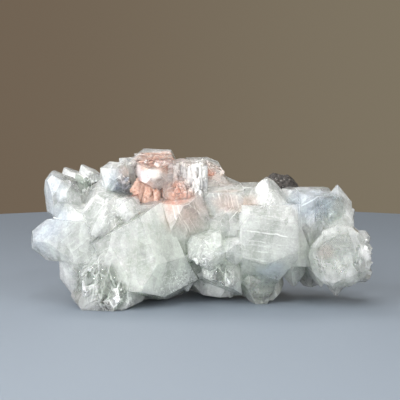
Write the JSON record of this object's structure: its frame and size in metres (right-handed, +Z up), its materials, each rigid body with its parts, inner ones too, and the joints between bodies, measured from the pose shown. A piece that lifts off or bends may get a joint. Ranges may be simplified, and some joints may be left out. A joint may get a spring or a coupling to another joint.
{
  "type": "apophyllite crystal cluster",
  "caption": "Mineral specimen: clear to milky apophyllite crystals grown together, with peach stilbite and a scrap of basalt, lying on its own feet.",
  "frame": {"origin": "middle of the cluster's footprint box, on the surface that it lies on", "axes": "+X to the right along the length, +Y to the back, +Z up, front faces -Y"},
  "size_m": [0.1096, 0.048, 0.0479],
  "materials": {
    "apophyllite": "clear to milky crystal, glassy faces, pearly on cleavage",
    "stilbite": "pearly, orange stained",
    "basalt": "dull, rough and pitted"
  },
  "bodies": {
    "root": {"apophyllite_crystals": "apophyllite", "stilbite_blades": "stilbite", "basalt_scrap": "basalt"}
  },
  "joints": []
}
